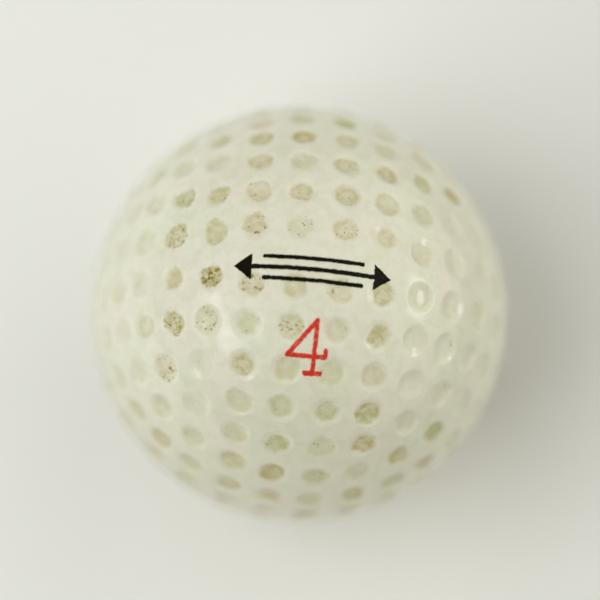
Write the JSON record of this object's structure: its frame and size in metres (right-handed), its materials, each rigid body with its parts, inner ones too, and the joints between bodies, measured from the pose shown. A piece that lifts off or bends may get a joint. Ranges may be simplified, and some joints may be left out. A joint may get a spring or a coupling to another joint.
{
  "type": "golf ball",
  "caption": "Wound golf ball with a dimpled two-shell cover over a thread-wound core and a filled rubber centre; glossy ivory paint, stained dimples.",
  "frame": {"origin": "centre of the ball", "axes": "+Z through the pole that carries the printed marks, square to the parting plane of the two cover halves; +X along the line of the black mark"},
  "size_m": [0.0426, 0.0426, 0.0426],
  "materials": {
    "cover_paint": "glossy aged ivory paint",
    "ink_black": "printed black ink",
    "ink_red": "printed red ink",
    "thread_rubber": "matt stretched rubber thread",
    "tape_rubber": "matt rubber tape",
    "sac_rubber": "satin moulded rubber",
    "plug_rubber": "satin moulded rubber",
    "centre_paste": "smooth wet paste"
  },
  "bodies": {
    "root": {"cover_front_half": "cover_paint", "cover_rear_half": "cover_paint", "thread_winding": "thread_rubber", "base_tape_winding": "tape_rubber", "centre_sac": "sac_rubber", "sac_plug": "plug_rubber", "centre_fill": "centre_paste"}
  },
  "joints": []
}
